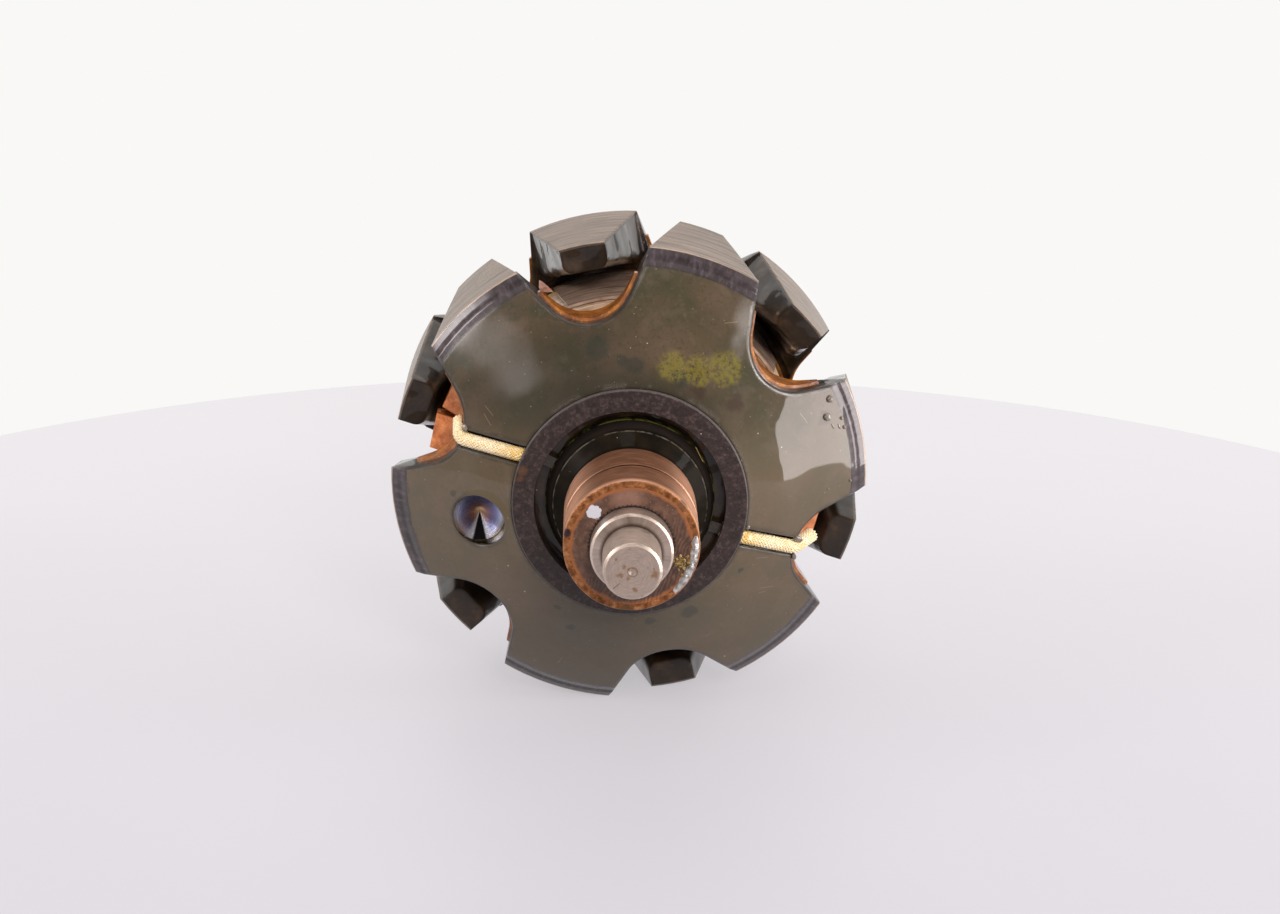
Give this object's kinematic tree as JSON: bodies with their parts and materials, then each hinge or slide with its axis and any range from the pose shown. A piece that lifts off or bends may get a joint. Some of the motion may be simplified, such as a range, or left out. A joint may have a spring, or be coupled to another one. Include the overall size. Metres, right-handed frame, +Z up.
{
  "type": "alternator rotor",
  "caption": "Claw-pole alternator rotor on a steel shaft: interleaved pole claws round a field winding, with copper slip rings that carry its current.",
  "frame": {"origin": "on the shaft axis, at the middle of the slip-end bearing journal", "axes": "+Y along the shaft from the slip-ring end toward the drive end, +Z up as the rotor lies on its claws, +X to the right seen from the slip-ring end"},
  "size_m": [0.104, 0.1708, 0.104],
  "materials": {
    "shaft_steel": "turned, lightly rust stained",
    "lacquered_steel": "dark clear lacquer over steel, turned bare on the outside",
    "core_steel": "plain",
    "bobbin_plastic": "moulded, varnished",
    "winding_copper": "enamelled copper wire, varnished",
    "insulation_sheet": "orange-brown sheet, varnished",
    "hub_phenolic": "machined brown moulding",
    "slip_copper": "copper, polished and brush worn",
    "flange_black": "black, varnished",
    "retainer_fibre": "black, speckled",
    "spacer_steel": "turned",
    "solder": "bright, uneven",
    "sleeve_braid": "braided glass sleeve, varnished",
    "lead_copper": "bare copper"
  },
  "bodies": {
    "root": {"shaft": "shaft_steel", "claw_pole_front": "lacquered_steel", "claw_pole_rear": "lacquered_steel", "pole_core": "core_steel", "coil_bobbin": "bobbin_plastic", "field_winding": "winding_copper", "insulation_star_front": "insulation_sheet", "insulation_star_rear": "insulation_sheet", "insulation_flap_left_lower": "insulation_sheet", "insulation_flap_left_upper": "insulation_sheet", "insulation_flap_right": "insulation_sheet", "slip_ring_hub": "hub_phenolic", "slip_ring_outer": "slip_copper", "slip_ring_inner": "slip_copper", "hub_flange": "flange_black", "retainer_ring": "retainer_fibre", "drive_spacer": "spacer_steel", "solder_outer_ring": "solder", "lead_sleeve_left": "sleeve_braid", "lead_sleeve_right": "sleeve_braid", "lead_wire_left": "lead_copper", "lead_wire_right": "lead_copper", "solder_left": "solder", "solder_right": "solder"}
  },
  "joints": []
}
